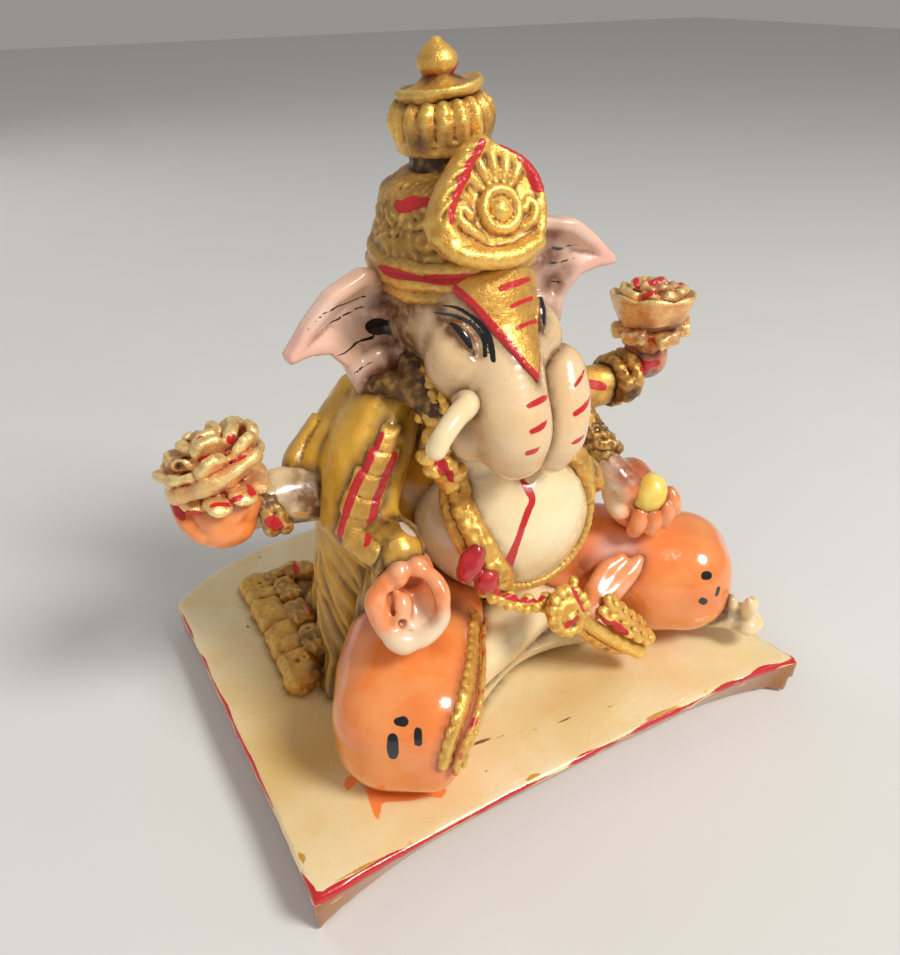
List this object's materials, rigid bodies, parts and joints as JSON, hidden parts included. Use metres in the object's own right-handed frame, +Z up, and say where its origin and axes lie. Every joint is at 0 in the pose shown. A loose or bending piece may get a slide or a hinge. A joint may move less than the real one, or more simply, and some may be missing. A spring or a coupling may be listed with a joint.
{
  "type": "ganesha idol",
  "caption": "Hand-painted cast figurine of a seated elephant-headed deity, cross-legged on a slab with a rounded back, with crown, lotuses, garland and shawl.",
  "frame": {"origin": "midway between the base's four corners, on its underside and on the surface that it stands on", "axes": "+Z up, the figure faces -Y, its own left hand side is at +X"},
  "size_m": [0.0889, 0.077, 0.0991],
  "materials": {
    "ivory_resin": "glossy translucent cast marble-dust resin",
    "orange_paint": "high-gloss orange paint over the casting",
    "gold_paint": "bright gold metallic paint over relief",
    "aged_gold_paint": "gold paint with a dark brown wash",
    "yellow_paint": "satin mustard yellow paint",
    "pink_paint": "thin pink paint over ivory",
    "red_paint": "glossy dark red paint"
  },
  "bodies": {
    "root": {"base_slab": "ivory_resin", "belly": "ivory_resin", "belt_medallion": "gold_paint", "crown_band": "gold_paint", "crown_dome": "gold_paint", "crown_front_plate": "gold_paint", "crown_medallion": "gold_paint", "crown_neck": "aged_gold_paint", "finial_bud": "gold_paint", "finial_lid": "gold_paint", "finial_pot": "gold_paint", "forehead_plate": "gold_paint", "front_left_arm": "aged_gold_paint", "front_left_hand": "orange_paint", "front_right_arm": "yellow_paint", "front_right_hand": "orange_paint", "garland_fold": "gold_paint", "garland_jewel": "red_paint", "garland_left": "gold_paint", "garland_right": "gold_paint", "head": "ivory_resin", "left_ear": "pink_paint", "left_hem_lower": "gold_paint", "left_hem_upper": "gold_paint", "left_knee": "orange_paint", "left_lotus": "gold_paint", "left_shin": "ivory_resin", "left_wristlet": "gold_paint", "neck_beads": "aged_gold_paint", "rear_left_arm": "aged_gold_paint", "rear_left_bracelet": "aged_gold_paint", "rear_left_hand": "pink_paint", "rear_right_arm": "ivory_resin", "rear_right_bracelet": "aged_gold_paint", "rear_right_hand": "orange_paint", "right_armband": "gold_paint", "right_ear": "pink_paint", "right_foot": "ivory_resin", "right_hem_plait": "gold_paint", "right_hem_strip": "gold_paint", "right_knee": "orange_paint", "right_lotus": "gold_paint", "right_shin": "ivory_resin", "right_tusk": "ivory_resin", "right_wristlet": "gold_paint", "sash_fold": "ivory_resin", "seat": "orange_paint", "shawl_drape": "yellow_paint", "shawl_knob_inner_1": "aged_gold_paint", "shawl_knob_inner_2": "aged_gold_paint", "shawl_knob_inner_3": "aged_gold_paint", "shawl_knob_outer_1": "gold_paint", "shawl_knob_outer_2": "gold_paint", "shawl_knob_outer_3": "gold_paint", "shawl_knob_outer_4": "gold_paint", "sweet": "yellow_paint", "torso": "yellow_paint", "trunk": "ivory_resin", "trunk_curl": "ivory_resin"}
  },
  "joints": []
}
